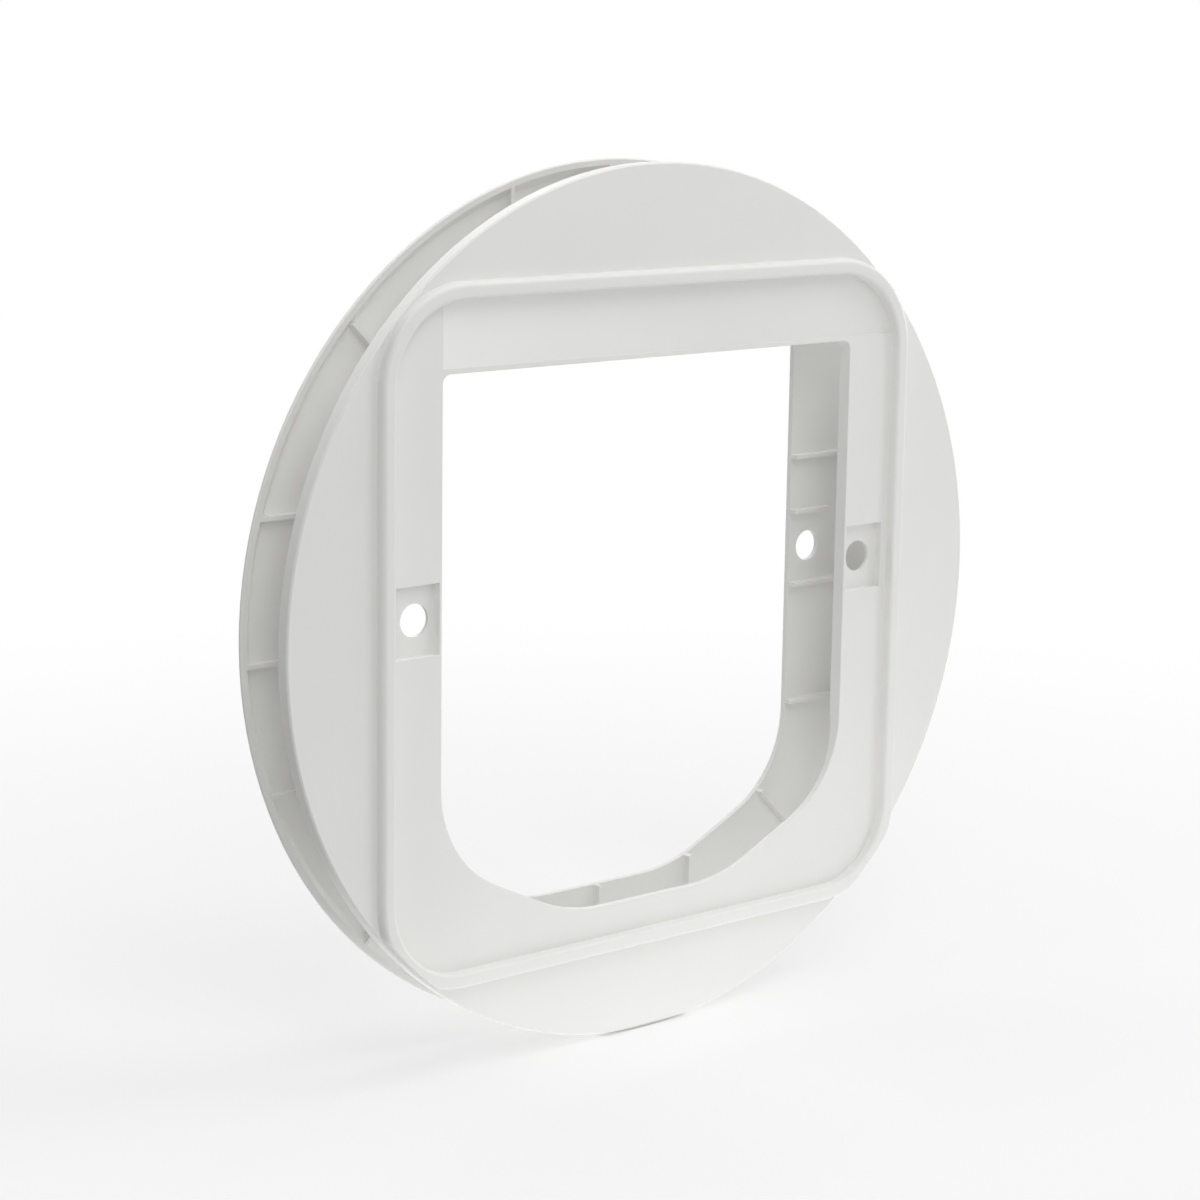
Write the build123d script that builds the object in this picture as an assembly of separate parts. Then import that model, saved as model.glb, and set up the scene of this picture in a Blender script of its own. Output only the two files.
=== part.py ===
from build123d import *
import os
from math import atan, degrees, sqrt

# Mounting adaptor for a cat flap: two round mouldings that clamp a pane between them.
# X is to the right and Z up as seen from the front, and the front frame faces -Y.
# The origin is the middle of the overall box, on the axis of the two discs.

# Round body, the same for both frames
FLANGE_DIAMETER = 285.0
FRAME_DEPTH = 5.0
PLATE_WALL = 2.0
RIM_WALL = 2.2
RIM_CHAMFER = 0.4
RIM_ROOT = 0.5
PANE_GAP = 19.8

# Edge between the flange face and the rim
FRONT_BEVEL = 0.5
REAR_BEVEL = 4.0

# Fence round the seat of the flap's own frame
FENCE_CORNER = 26.5
FENCE_HEIGHT = 3.4
FENCE_CREST = 4.8
FENCE_DRAFT = 0.3
CREST_OUTER_RADIUS = 1.6
CREST_INNER_RADIUS = 1.0
FENCE_EDGE_LEDGE = 0.3

# Land between the opening and the fence
LAND_SIDE = 19.7
LAND_TOP = 22.9
LAND_BOTTOM = 10.4
LAND_DROP = 0.3

# Sunk panel in the top land: it leans back at its left end and lies flat but deeper at its right end
PANEL_STRIP = 1.6
PANEL_LEFT_STEP = 0.1
PANEL_LEFT_FALL = 1.5
PANEL_RIGHT_STEP = 0.5
PANEL_WALL = 1.4

# Opening with square shoulders, sloped lower corners and a flat bottom
OPENING_WIDTH = 170.6
OPENING_TOP = 81.0
FRONT_OPENING_BOTTOM = -97.3
REAR_OPENING_BOTTOM = -100.0
OPENING_FLAT = 66.0
OPENING_CHIN = 25.8
OPENING_TOP_RADIUS = 3.0
OPENING_CORNER_RADIUS = 38.0
OPENING_HEEL_RADIUS = 56.0
OPENING_EDGE_RADIUS = 0.3

# Lip turned in along the top and the sides of the front opening, which runs out at the lower corners
LIP_WALL = 2.0
LIP_FOOT = -46.0
LIP_RUNOUT = 24.0

# Screw holes each side of the opening, sunk in pockets in the front frame
HOLE_LEVEL = 6.2
HOLE_INSET = 8.7
HOLE_DIAMETER = 10.6
POCKET_WIDTH = 16.4
POCKET_HEIGHT = 22.4
POCKET_LIP = 1.0
POCKET_WALL = 1.4
POCKET_FLOOR = 2.0
POCKET_FLOOR_WALL = 1.2
POCKET_EDGE_RADIUS = 0.2

# Ribs on the inner side, from the opening to the rim; the side ribs are placed from the level of the holes.
# The rib next above a hole is a short one, which ends a little past the hole.
# Below the lip, the front frame's ribs stop short of the opening.
RIB_WALL = 1.3
RIB_SETBACK = 6.0
SIDE_RIB_STEPS = (-54.6, -12.8, 32.0)
SHORT_RIB_STEP = 12.8
SHORT_RIB_OVERRUN = 3.4
END_RIB_STEPS = (-40.0, 0.0, 40.0)
CORNER_RIB_ANGLES = (45, 135)
CORNER_RIB_CROSSING = -5.5

# Heights, measured outwards from the middle of the gap between the frames
RIM_PLANE = PANE_GAP / 2
FACE = RIM_PLANE + FRAME_DEPTH
LAND = FACE - LAND_DROP
PLATE_BACK = FACE - PLATE_WALL
LAND_BACK = LAND - PLATE_WALL
POCKET_BASE = RIM_PLANE + POCKET_FLOOR
CREST = FACE + FENCE_HEIGHT
GAP_MIDDLE = FENCE_HEIGHT / 2

FLANGE_RADIUS = FLANGE_DIAMETER / 2
RIM_INSIDE = FLANGE_RADIUS - RIM_WALL
FENCE_WIDTH = OPENING_WIDTH + 2 * LAND_SIDE
FENCE_TOP = OPENING_TOP + LAND_TOP
FENCE_BOTTOM = FRONT_OPENING_BOTTOM - LAND_BOTTOM
FENCE_BASE = FENCE_CREST + FENCE_DRAFT
LIP_END = LIP_FOOT - LIP_RUNOUT
HOLE_SPACING = OPENING_WIDTH + 2 * HOLE_INSET
SHORT_RIB_SPAN = HOLE_SPACING + HOLE_DIAMETER + 2 * SHORT_RIB_OVERRUN
POCKET_SPACING = OPENING_WIDTH + 2 * POCKET_LIP + POCKET_WIDTH
PANEL_START = OPENING_TOP + PANEL_STRIP
PANEL_BACK = LAND - max(PANEL_LEFT_STEP + PANEL_LEFT_FALL, PANEL_RIGHT_STEP) - PANEL_WALL
EDGE_TOLERANCE = 0.01


def prism(outline, low, high):
    """Solid between two heights over an outline drawn in X and Z."""
    return extrude(Plane.XZ.offset(low) * outline, amount=high - low)


def turned(*points):
    """Solid of revolution about the discs' axis, from points given as radius and height."""
    outline = Polyline(*[(radius, -height) for radius, height in points], close=True)
    return revolve(make_face(outline), axis=Axis.Y)


def round_blank(bevel):
    """Plain disc with the edge bevel on its face and a small chamfer at the rim plane."""
    return turned(
        (0, FACE),
        (FLANGE_RADIUS - bevel, FACE),
        (FLANGE_RADIUS, FACE - bevel),
        (FLANGE_RADIUS, RIM_PLANE + RIM_CHAMFER),
        (FLANGE_RADIUS - RIM_CHAMFER, RIM_PLANE),
        (0, RIM_PLANE),
    )


def fence_outline(grow=0.0):
    """Rounded square of the fence's inner wall, or the same grown outwards."""
    width = FENCE_WIDTH + 2 * grow
    height = FENCE_TOP - FENCE_BOTTOM + 2 * grow
    middle = (FENCE_TOP + FENCE_BOTTOM) / 2
    return Pos(0, middle) * RectangleRounded(width, height, FENCE_CORNER + grow)


def opening_outline(bottom):
    """Opening with square shoulders, and sloped lower corners rounded into its sides and flat bottom."""
    half = OPENING_WIDTH / 2
    flat = OPENING_FLAT / 2
    chin = bottom + OPENING_CHIN
    outline = make_face(Polyline(
        (-half, OPENING_TOP),
        (half, OPENING_TOP),
        (half, chin),
        (flat, bottom),
        (-flat, bottom),
        (-half, chin),
        close=True,
    ))
    outline = fillet(outline.vertices().group_by(Axis.Y)[0], OPENING_HEEL_RADIUS)
    corners = [corner for corner in outline.vertices() if abs(corner.Y - chin) < EDGE_TOLERANCE]
    outline = fillet(corners, OPENING_CORNER_RADIUS)
    return fillet(outline.vertices().group_by(Axis.Y)[-1], OPENING_TOP_RADIUS)


def lip(opening):
    """Wall round the opening, of full depth down to its foot, and then running out."""
    top = OPENING_TOP + LIP_WALL
    profile = make_face(Polyline(
        (-PLATE_BACK, top),
        (-RIM_PLANE, top),
        (-RIM_PLANE, LIP_FOOT),
        (-PLATE_BACK, LIP_END),
        close=True,
    ))
    limit = extrude(Plane.YZ * profile, amount=OPENING_WIDTH, both=True)
    return prism(offset(opening, LIP_WALL), RIM_PLANE, PLATE_BACK) & limit


def both_sides(outline, spacing):
    """The outline once on each side of the opening, at the level of the screw holes."""
    return Sketch() + [Pos(side * spacing / 2, HOLE_LEVEL) * outline for side in (-1, 1)]


def fence():
    """Ridge with steep walls and a rounded crest, cut off at the disc's edge."""
    slope = degrees(atan(FENCE_DRAFT / FENCE_HEIGHT))
    ridge = extrude(Plane.XZ.offset(FACE) * fence_outline(FENCE_BASE), amount=FENCE_HEIGHT, taper=slope)
    ridge += prism(fence_outline(FENCE_BASE), LAND_BACK, FACE)
    ridge -= prism(fence_outline(), LAND_BACK, CREST)
    crest = ridge.faces().sort_by(Axis.Y)[0]
    ridge = fillet(crest.outer_wire().edges(), CREST_OUTER_RADIUS)
    crest = ridge.faces().sort_by(Axis.Y)[0]
    ridge = fillet(crest.inner_wires()[0].edges(), CREST_INNER_RADIUS)
    limit = Circle(FLANGE_RADIUS - FRONT_BEVEL - FENCE_EDGE_LEDGE)
    return ridge & prism(limit, LAND_BACK, CREST)


def panel_section(x, step, fall):
    """Cross-section of the cut for the sunk panel at one place along its length."""
    return make_face(Polyline(
        (x, -LAND, PANEL_START),
        (x, -LAND, FENCE_TOP),
        (x, -LAND + step + fall, FENCE_TOP),
        (x, -LAND + step, PANEL_START),
        close=True,
    ))


def panel_cut():
    """Cut for the sunk panel, from the left side of the opening to the fence on the right."""
    left = panel_section(-OPENING_WIDTH / 2, PANEL_LEFT_STEP, PANEL_LEFT_FALL)
    right = panel_section(FENCE_WIDTH / 2, PANEL_RIGHT_STEP, 0)
    return loft([left, right], ruled=True) & prism(fence_outline(), PANEL_BACK, FACE)


def panel_backing():
    """Outline of the extra wall behind the sunk panel."""
    width = (FENCE_WIDTH + OPENING_WIDTH) / 2
    block = Rectangle(width, LAND_TOP, align=(Align.MAX, Align.MIN))
    return Pos(FENCE_WIDTH / 2, OPENING_TOP) * block


def ribs():
    """Bars for the ribs: three long and one short each side, three at each end and one at each corner."""
    bars = Pos(0, HOLE_LEVEL + SHORT_RIB_STEP) * Rectangle(SHORT_RIB_SPAN, RIB_WALL)
    for step in SIDE_RIB_STEPS:
        bars += Pos(0, HOLE_LEVEL + step) * Rectangle(FLANGE_DIAMETER, RIB_WALL)
    for step in END_RIB_STEPS:
        bars += Pos(step, 0) * Rectangle(RIB_WALL, FLANGE_DIAMETER)
    for angle in CORNER_RIB_ANGLES:
        bars += Pos(0, CORNER_RIB_CROSSING) * Rot(0, 0, angle) * Rectangle(FLANGE_DIAMETER, RIB_WALL)
    return bars


def ribs_clear_of(opening):
    """The ribs, cut back from the edge of the opening where it has no lip."""
    below = Rectangle(FLANGE_DIAMETER, FLANGE_DIAMETER, align=(Align.CENTER, Align.MAX))
    return ribs() - (offset(opening, RIB_SETBACK) & Pos(0, LIP_END) * below)


def hollow(opening, bevel, fenced):
    """Space on the inner side, between the rim, the ribs and in the front frame the lip and pockets."""
    root = max(RIM_ROOT, bevel + PLATE_WALL * sqrt(2) - RIM_WALL - PLATE_WALL)
    space = turned(
        (0, PLATE_BACK),
        (RIM_INSIDE - root, PLATE_BACK),
        (RIM_INSIDE, PLATE_BACK - root),
        (RIM_INSIDE, RIM_PLANE),
        (0, RIM_PLANE),
    )
    walls = ribs()
    if fenced:
        box = Rectangle(POCKET_WIDTH + 2 * POCKET_WALL, POCKET_HEIGHT + 2 * POCKET_WALL)
        walls = ribs_clear_of(opening) + both_sides(box, POCKET_SPACING)
        space -= lip(opening)
        space -= prism(fence_outline(FENCE_BASE), LAND_BACK, PLATE_BACK)
        space -= prism(panel_backing(), PANEL_BACK, PLATE_BACK)
    return space - prism(walls, RIM_PLANE, PLATE_BACK)


def edges_along(body, outline, height):
    """Edges of the body that lie on an outline at one height."""
    guides = (Plane.XZ.offset(height) * outline).wires()
    return [
        edge for edge in body.edges()
        if min(guide.distance_to(edge @ 0.5) for guide in guides) < EDGE_TOLERANCE
    ]


def frame_half(bottom, bevel, fenced):
    """One moulding, facing -Y, with the middle of the gap at Y = 0."""
    seat = LAND if fenced else FACE
    opening = opening_outline(bottom)
    pockets = both_sides(Rectangle(POCKET_WIDTH, POCKET_HEIGHT), POCKET_SPACING)
    holes = both_sides(Circle(HOLE_DIAMETER / 2), HOLE_SPACING)
    body = round_blank(bevel)
    if fenced:
        body += fence()
        body -= prism(fence_outline(), LAND, FACE)
        body -= panel_cut()
    body -= hollow(opening, bevel, fenced)
    body -= prism(opening, RIM_PLANE, FACE)
    body -= prism(holes, RIM_PLANE, FACE)
    if fenced:
        body -= prism(pockets, POCKET_BASE, FACE)
        body -= prism(pockets, RIM_PLANE, POCKET_BASE - POCKET_FLOOR_WALL)
        body = fillet(edges_along(body, pockets, seat), POCKET_EDGE_RADIUS)
    return fillet(edges_along(body, opening, seat), OPENING_EDGE_RADIUS)


to_row_frame = Pos(0, GAP_MIDDLE, 0)
front_frame = to_row_frame * frame_half(FRONT_OPENING_BOTTOM, FRONT_BEVEL, fenced=True)
rear_frame = to_row_frame * Rot(0, 0, 180) * frame_half(REAR_OPENING_BOTTOM, REAR_BEVEL, fenced=False)

os.makedirs("parts", exist_ok=True)
export_step(front_frame, "parts/front_frame.step")
export_step(rear_frame, "parts/rear_frame.step")
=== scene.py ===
"""Finishes the two frames of a cat flap mounting adaptor and lights them on a pale floor."""

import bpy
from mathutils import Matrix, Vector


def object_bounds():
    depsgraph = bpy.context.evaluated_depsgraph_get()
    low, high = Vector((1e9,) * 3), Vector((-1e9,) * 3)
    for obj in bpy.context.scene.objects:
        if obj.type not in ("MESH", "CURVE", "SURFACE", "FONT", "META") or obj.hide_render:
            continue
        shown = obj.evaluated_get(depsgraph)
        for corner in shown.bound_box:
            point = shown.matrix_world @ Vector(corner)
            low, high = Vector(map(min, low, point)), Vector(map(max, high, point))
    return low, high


bl_info = {
    "name": "Cat Flap Mounting Adaptor",
    "version": (1, 0, 0),
    "blender": (4, 5, 0),
    "location": "View3D > Sidebar > Adaptor",
    "description": "Finishes the frames of a mounting adaptor and lights them on a pale floor",
    "category": "Object",
}

from math import pi, radians

import bpy
from bpy.props import FloatProperty, FloatVectorProperty, PointerProperty
from bpy.types import Operator, Panel, PropertyGroup
from mathutils import Matrix, Vector

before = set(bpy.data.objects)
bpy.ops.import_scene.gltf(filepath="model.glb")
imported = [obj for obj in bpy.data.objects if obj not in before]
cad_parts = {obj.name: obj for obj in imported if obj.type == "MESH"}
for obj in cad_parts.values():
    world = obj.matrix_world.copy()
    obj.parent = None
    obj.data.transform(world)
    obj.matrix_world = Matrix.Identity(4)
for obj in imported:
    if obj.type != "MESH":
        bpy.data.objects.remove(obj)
CAD_LOW, CAD_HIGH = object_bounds()
FLOOR_LEVEL = CAD_LOW.z

# Place, aim and width of each square soft light, in metres.
# The last two lie on the floor and face up.
MIDDLE = (0.0, 0.0, 0.0)
GLOW_LEVEL = FLOOR_LEVEL + 0.001
GLOW_AIM = 1.0
SOFT_LIGHTS = {
    "top": ((0.0, 0.0, 1.3), MIDDLE, 1.6),
    "left": ((-1.15, -1.37, 0.19), MIDDLE, 1.0),
    "front": ((-0.57, -1.21, 1.2), MIDDLE, 1.0),
    "fill": ((1.15, -1.37, 0.19), MIDDLE, 1.0),
    "key": ((1.16, -0.67, 1.2), MIDDLE, 1.0),
    "right": ((1.79, 0.0, 0.19), MIDDLE, 1.0),
    "back": ((0.0, 2.0, 0.7), MIDDLE, 2.4),
    "glow": ((0.0, 0.0, GLOW_LEVEL), (0.0, 0.0, GLOW_AIM), 0.25),
    "card": ((0.22, -0.24, GLOW_LEVEL), (0.22, -0.24, GLOW_AIM), 0.5),
}

# Middle part of a noise's values, which is spread over the wanted range
NOISE_LOW = 0.3
NOISE_HIGH = 0.7

# How many finer layers each noise has
CLOUD_DETAIL = 3.0
PATCH_DETAIL = 4.0
WAVE_DETAIL = 1.0
GRAIN_DETAIL = 2.0


class ADAPTOR_PG_plastic(PropertyGroup):
    """Finish of the white moulded plastic, with painted light on the left end of the sunk panel."""

    colour: FloatVectorProperty(
        name="Colour",
        description="Base colour of the moulded plastic",
        subtype="COLOR",
        size=4,
        min=0.0,
        max=1.0,
        default=(0.862, 0.860, 0.842, 1.0),
    )
    cloud_colour: FloatVectorProperty(
        name="Cloud Colour",
        description="Slightly darker colour that the base drifts to in wide soft clouds",
        subtype="COLOR",
        size=4,
        min=0.0,
        max=1.0,
        default=(0.838, 0.836, 0.818, 1.0),
    )
    # Painted light: a lighter colour painted on the left end of the sunk panel, standing in for the
    # brighter light that falls there.
    panel_painted_light: FloatVectorProperty(
        name="Painted Panel Light",
        description="Lighter colour at the left end of the sunk panel",
        subtype="COLOR",
        size=4,
        min=0.0,
        max=1.0,
        default=(0.935, 0.935, 0.925, 1.0),
    )
    # Box that holds the painted light on the sunk panel.
    painted_light_low: FloatVectorProperty(
        name="Panel Low",
        description="Left, front and lower limit of the sunk panel",
        subtype="TRANSLATION",
        unit="LENGTH",
        default=(-0.0853, -0.0130, 0.0826),
    )
    painted_light_high: FloatVectorProperty(
        name="Panel High",
        description="Right, rear and upper limit of the lighter end of the sunk panel",
        subtype="TRANSLATION",
        unit="LENGTH",
        default=(0.0200, -0.0105, 0.1036),
    )
    cloud_size: FloatProperty(
        name="Cloud Size",
        description="Width of the soft clouds in the colour",
        unit="LENGTH",
        default=0.055,
    )
    smooth_roughness: FloatProperty(
        name="Smooth Roughness",
        description="Roughness where the tool face left the plastic smoothest",
        subtype="FACTOR",
        min=0.0,
        max=1.0,
        default=0.34,
    )
    dull_roughness: FloatProperty(
        name="Dull Roughness",
        description="Roughness where the plastic is dullest",
        subtype="FACTOR",
        min=0.0,
        max=1.0,
        default=0.44,
    )
    sheen_patch: FloatProperty(
        name="Sheen Patch",
        description="Width of the patches in which the roughness varies",
        unit="LENGTH",
        default=0.018,
    )
    grain_size: FloatProperty(
        name="Grain Size",
        description="Width of the fine grain that the mould leaves",
        unit="LENGTH",
        precision=5,
        default=0.0007,
    )
    grain_depth: FloatProperty(
        name="Grain Depth",
        description="Depth of the fine grain",
        unit="LENGTH",
        precision=6,
        default=0.000006,
    )
    wave_size: FloatProperty(
        name="Wave Size",
        description="Width of the shallow waves left as the plastic shrinks",
        unit="LENGTH",
        default=0.03,
    )
    wave_depth: FloatProperty(
        name="Wave Depth",
        description="Depth of the shallow waves",
        unit="LENGTH",
        precision=6,
        default=0.00004,
    )


class ADAPTOR_PG_stage(PropertyGroup):
    """Camera, floor and lights."""

    camera_place: FloatVectorProperty(
        name="Camera",
        description="Place of the camera",
        subtype="TRANSLATION",
        unit="LENGTH",
        default=(-0.6340, -0.7459, 0.1956),
    )
    camera_yaw: FloatProperty(
        name="Yaw",
        description="Turn of the view to the right of straight on",
        subtype="ANGLE",
        default=radians(39.83),
    )
    camera_pitch: FloatProperty(
        name="Pitch",
        description="How far the camera looks down",
        subtype="ANGLE",
        default=radians(11.31),
    )
    camera_roll: FloatProperty(
        name="Roll",
        description="Turn of the camera about its own line of sight",
        subtype="ANGLE",
        default=radians(0.84),
    )
    lens: FloatProperty(
        name="Lens",
        description="Focal length of the camera",
        unit="CAMERA",
        default=91.65,
    )
    floor_size: FloatProperty(
        name="Floor Size",
        description="Width of the floor",
        unit="LENGTH",
        default=60.0,
    )
    floor_tone: FloatProperty(
        name="Floor Tone",
        description="Lightness of the floor as the camera sees it",
        subtype="FACTOR",
        min=0.0,
        max=1.0,
        default=0.95,
    )
    floor_bounce: FloatProperty(
        name="Floor Bounce",
        description="Share of the light that the floor throws back on the object",
        subtype="FACTOR",
        min=0.0,
        max=1.0,
        default=0.5,
    )
    floor_veil: FloatProperty(
        name="Floor Veil",
        description="Share of plain white in what the camera sees of the floor close to the object",
        subtype="FACTOR",
        min=0.0,
        max=1.0,
        default=0.5,
    )
    shadow_reach: FloatProperty(
        name="Shadow Reach",
        description="Distance from the object at which the floor has faded to plain white",
        unit="LENGTH",
        default=0.7,
    )
    room_light: FloatProperty(
        name="Room Light",
        description="Strength of the even light from all round",
        default=0.01,
    )
    top_power: FloatProperty(
        name="Top Light",
        description="Power of the wide soft light straight above",
        unit="POWER",
        default=11.2,
    )
    left_power: FloatProperty(
        name="Left Light",
        description="Power of the low soft light in front on the left",
        unit="POWER",
        default=5.2,
    )
    front_power: FloatProperty(
        name="Front Light",
        description="Power of the high soft light in front on the left",
        unit="POWER",
        default=8.4,
    )
    fill_power: FloatProperty(
        name="Fill Light",
        description="Power of the low soft light in front on the right",
        unit="POWER",
        default=3.5,
    )
    key_power: FloatProperty(
        name="Key Light",
        description="Power of the high soft light on the right",
        unit="POWER",
        default=6.4,
    )
    right_power: FloatProperty(
        name="Right Light",
        description="Power of the low soft light straight on the right",
        unit="POWER",
        default=8.0,
    )
    back_power: FloatProperty(
        name="Back Light",
        description="Power of the wide soft light behind",
        unit="POWER",
        default=25.0,
    )
    glow_power: FloatProperty(
        name="Floor Glow",
        description="Power of the glow from the floor under the object",
        unit="POWER",
        default=0.13,
    )
    card_power: FloatProperty(
        name="Floor Card",
        description="Power of the glow from the floor in front on the right",
        unit="POWER",
        default=0.39,
    )


def new_node(tree, kind, **values):
    """Adds a node and sets its properties, or its inputs where a value's name is an input's."""
    node = tree.nodes.new(kind)
    for name, value in values.items():
        if hasattr(node, name):
            setattr(node, name, value)
        else:
            node.inputs[name.replace("_", " ").title()].default_value = value
    return node


def noise(tree, place, width, detail):
    """Noise whose features are about as wide as asked, in metres."""
    texture = new_node(tree, "ShaderNodeTexNoise", scale=1.0 / width, detail=detail)
    tree.links.new(place, texture.inputs["Vector"])
    return texture.outputs["Fac"]


def spread(tree, factor, low, high):
    """Maps the middle of a noise to the range from low to high."""
    mapped = new_node(
        tree,
        "ShaderNodeMapRange",
        from_min=NOISE_LOW,
        from_max=NOISE_HIGH,
        to_min=low,
        to_max=high,
    )
    tree.links.new(factor, mapped.inputs["Value"])
    return mapped.outputs["Result"]


def bump(tree, height, depth, under=None):
    """Bump of the given depth, over another one if there is one."""
    node = new_node(tree, "ShaderNodeBump", strength=1.0, distance=depth)
    tree.links.new(height, node.inputs["Height"])
    if under is not None:
        tree.links.new(under, node.inputs["Normal"])
    return node.outputs["Normal"]


def painted_panel_light(tree, place, settings):
    """Mask of the painted light: 1 at the left end of the sunk panel, fading along it and 0 outside
    it.
    """
    split = tree.nodes.new("ShaderNodeSeparateXYZ")
    tree.links.new(place, split.inputs["Vector"])
    fade = new_node(
        tree,
        "ShaderNodeMapRange",
        from_min=settings.painted_light_low.x,
        from_max=settings.painted_light_high.x,
        to_min=1.0,
        to_max=0.0,
    )
    tree.links.new(split.outputs["X"], fade.inputs["Value"])
    share = fade.outputs["Result"]
    for axis, low, high in zip("XYZ", settings.painted_light_low, settings.painted_light_high):
        for operation, limit in (("GREATER_THAN", low), ("LESS_THAN", high)):
            side = new_node(tree, "ShaderNodeMath", operation=operation)
            side.inputs[1].default_value = limit
            tree.links.new(split.outputs[axis], side.inputs[0])
            both = new_node(tree, "ShaderNodeMath", operation="MULTIPLY")
            tree.links.new(share, both.inputs[0])
            tree.links.new(side.outputs["Value"], both.inputs[1])
            share = both.outputs["Value"]
    return share


def white_plastic(settings):
    """Satin white plastic with soft clouds, uneven sheen, shallow waves, a fine grain and painted
    light at the left end of the sunk panel.
    """
    material = bpy.data.materials.new("satin_white_plastic")
    material.use_nodes = True
    tree = material.node_tree
    shader = tree.nodes["Principled BSDF"]
    place = tree.nodes.new("ShaderNodeTexCoord").outputs["Object"]
    colour = new_node(tree, "ShaderNodeMix", data_type="RGBA")
    colour.inputs["A"].default_value = settings.colour
    colour.inputs["B"].default_value = settings.cloud_colour
    clouds = spread(tree, noise(tree, place, settings.cloud_size, CLOUD_DETAIL), 0.0, 1.0)
    tree.links.new(clouds, colour.inputs["Factor"])
    # Painted light: mixes a lighter colour into the left end of the sunk panel.
    panel = new_node(tree, "ShaderNodeMix", data_type="RGBA")
    panel.inputs["B"].default_value = settings.panel_painted_light
    tree.links.new(painted_panel_light(tree, place, settings), panel.inputs["Factor"])
    tree.links.new(colour.outputs["Result"], panel.inputs["A"])
    tree.links.new(panel.outputs["Result"], shader.inputs["Base Color"])
    patches = noise(tree, place, settings.sheen_patch, PATCH_DETAIL)
    roughness = spread(tree, patches, settings.smooth_roughness, settings.dull_roughness)
    tree.links.new(roughness, shader.inputs["Roughness"])
    waves = noise(tree, place, settings.wave_size, WAVE_DETAIL)
    waved = bump(tree, waves, settings.wave_depth)
    grain = noise(tree, place, settings.grain_size, GRAIN_DETAIL)
    grained = bump(tree, grain, settings.grain_depth, waved)
    tree.links.new(grained, shader.inputs["Normal"])
    return material


def seen_directly(tree):
    """Factor that is 1 for rays that show a surface straight, mirrored or through glass."""
    path = tree.nodes.new("ShaderNodeLightPath")
    seen = path.outputs["Is Camera Ray"]
    for name in ("Is Glossy Ray", "Is Transmission Ray"):
        either = new_node(tree, "ShaderNodeMath", operation="MAXIMUM")
        tree.links.new(seen, either.inputs[0])
        tree.links.new(path.outputs[name], either.inputs[1])
        seen = either.outputs["Value"]
    return seen


def studio_floor(settings):
    """Pale matt floor that keeps the soft shadow and fades to plain white away from the object."""
    material = bpy.data.materials.new("studio_floor")
    material.use_nodes = True
    tree = material.node_tree
    seen = seen_directly(tree)
    tone = new_node(
        tree,
        "ShaderNodeMapRange",
        to_min=settings.floor_bounce,
        to_max=settings.floor_tone,
    )
    tree.links.new(seen, tone.inputs["Value"])
    matt = tree.nodes["Principled BSDF"]
    tree.links.new(tone.outputs["Result"], matt.inputs["Base Color"])
    matt.inputs["Roughness"].default_value = 1.0
    matt.inputs["Specular IOR Level"].default_value = 0.0
    white = new_node(tree, "ShaderNodeEmission", strength=1.0)
    place = tree.nodes.new("ShaderNodeTexCoord").outputs["Object"]
    reach = new_node(tree, "ShaderNodeVectorMath", operation="LENGTH")
    tree.links.new(place, reach.inputs[0])
    fade = new_node(
        tree,
        "ShaderNodeMapRange",
        interpolation_type="SMOOTHSTEP",
        from_min=CAD_HIGH.x,
        from_max=settings.shadow_reach,
        to_min=settings.floor_veil,
        to_max=1.0,
    )
    tree.links.new(reach.outputs["Value"], fade.inputs["Value"])
    share = new_node(tree, "ShaderNodeMath", operation="MULTIPLY")
    tree.links.new(fade.outputs["Result"], share.inputs[0])
    tree.links.new(seen, share.inputs[1])
    mix = tree.nodes.new("ShaderNodeMixShader")
    tree.links.new(share.outputs["Value"], mix.inputs["Fac"])
    tree.links.new(matt.outputs["BSDF"], mix.inputs[1])
    tree.links.new(white.outputs["Emission"], mix.inputs[2])
    tree.links.new(mix.outputs["Shader"], tree.nodes["Material Output"].inputs["Surface"])
    return material


def studio_world(settings):
    """Even grey light on the object, and plain white behind it."""
    bpy.ops.world.new()
    world = bpy.data.worlds[-1]
    world.name = "studio_world"
    world.use_nodes = True
    tree = world.node_tree
    background = next(node for node in tree.nodes if node.type == "BACKGROUND")
    background.inputs["Color"].default_value = (1.0, 1.0, 1.0, 1.0)
    strength = new_node(tree, "ShaderNodeMapRange", to_min=settings.room_light, to_max=1.0)
    tree.links.new(seen_directly(tree), strength.inputs["Value"])
    tree.links.new(strength.outputs["Result"], background.inputs["Strength"])
    bpy.context.scene.world = world


def add_soft_light(name, place, target, width, power):
    """Square soft light of the given width, turned towards a point."""
    place = Vector(place)
    turn = (Vector(target) - place).to_track_quat("-Z", "Y").to_euler()
    bpy.ops.object.light_add(type="AREA", location=place, rotation=turn)
    light = bpy.context.object
    light.name = name
    light.data.shape = "SQUARE"
    light.data.size = width
    light.data.energy = power
    light.visible_camera = False


def dress_frame(name):
    """Gives a moulding its finish."""
    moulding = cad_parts[name]
    plastic = bpy.data.materials.get("satin_white_plastic")
    if plastic is None:
        plastic = white_plastic(bpy.context.scene.adaptor_plastic)
    for slot in moulding.material_slots:
        slot.material = plastic


class ADAPTOR_OT_front_frame(Operator):
    """Finish the front moulding, which carries the fence."""

    bl_idname = "adaptor.front_frame"
    bl_label = "Finish Front Frame"

    def execute(self, context):
        dress_frame("front_frame")
        return {"FINISHED"}


class ADAPTOR_OT_rear_frame(Operator):
    """Finish the rear moulding."""

    bl_idname = "adaptor.rear_frame"
    bl_label = "Finish Rear Frame"

    def execute(self, context):
        dress_frame("rear_frame")
        return {"FINISHED"}


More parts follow.
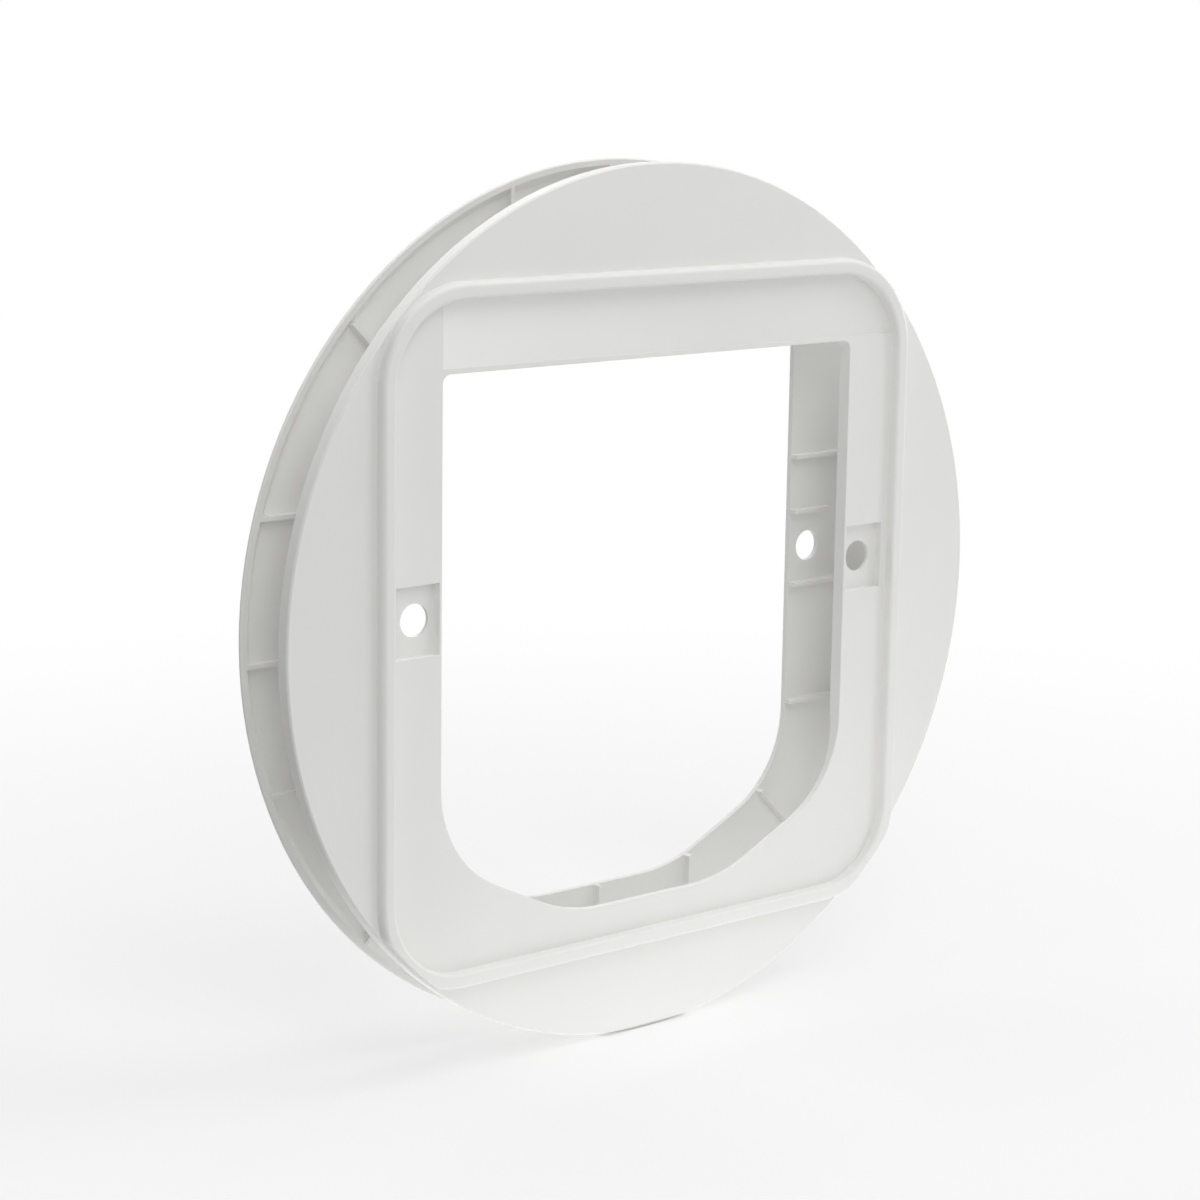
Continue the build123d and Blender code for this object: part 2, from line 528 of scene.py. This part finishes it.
class ADAPTOR_OT_stage(Operator):
    """Set up the floor, the soft lights and the camera."""

    bl_idname = "adaptor.stage"
    bl_label = "Set Up Stage"

    def execute(self, context):
        settings = context.scene.adaptor_stage
        context.scene.view_settings.view_transform = "Standard"
        studio_world(settings)
        floor_place = (0.0, 0.0, FLOOR_LEVEL)
        bpy.ops.mesh.primitive_plane_add(size=settings.floor_size, location=floor_place)
        floor = context.object
        floor.name = "floor"
        floor.data.materials.append(studio_floor(settings))
        for name, (place, target, width) in SOFT_LIGHTS.items():
            power = getattr(settings, name + "_power")
            add_soft_light(name + "_light", place, target, width, power)
        turn = (
            Matrix.Rotation(-settings.camera_yaw, 4, "Z")
            @ Matrix.Rotation(pi / 2 - settings.camera_pitch, 4, "X")
            @ Matrix.Rotation(settings.camera_roll, 4, "Z")
        )
        bpy.ops.object.camera_add(location=settings.camera_place, rotation=turn.to_euler())
        context.object.data.lens = settings.lens
        context.scene.camera = context.object
        return {"FINISHED"}


class ADAPTOR_PT_sidebar(Panel):
    """Lists the steps and the settings."""

    bl_label = "Mounting Adaptor"
    bl_space_type = "VIEW_3D"
    bl_region_type = "UI"
    bl_category = "Adaptor"

    def draw(self, context):
        layout = self.layout
        for step in (ADAPTOR_OT_front_frame, ADAPTOR_OT_rear_frame, ADAPTOR_OT_stage):
            layout.operator(step.bl_idname)
        for settings in (context.scene.adaptor_plastic, context.scene.adaptor_stage):
            box = layout.box()
            for name in settings.__annotations__:
                box.prop(settings, name)


CLASSES = (
    ADAPTOR_PG_plastic,
    ADAPTOR_PG_stage,
    ADAPTOR_OT_front_frame,
    ADAPTOR_OT_rear_frame,
    ADAPTOR_OT_stage,
    ADAPTOR_PT_sidebar,
)


def register():
    for item in CLASSES:
        bpy.utils.register_class(item)
    bpy.types.Scene.adaptor_plastic = PointerProperty(type=ADAPTOR_PG_plastic)
    bpy.types.Scene.adaptor_stage = PointerProperty(type=ADAPTOR_PG_stage)


def unregister():
    del bpy.types.Scene.adaptor_stage
    del bpy.types.Scene.adaptor_plastic
    for item in reversed(CLASSES):
        bpy.utils.unregister_class(item)


def main():
    register()
    bpy.ops.adaptor.front_frame()
    bpy.ops.adaptor.rear_frame()
    bpy.ops.adaptor.stage()


if __name__ == "__main__":
    main()
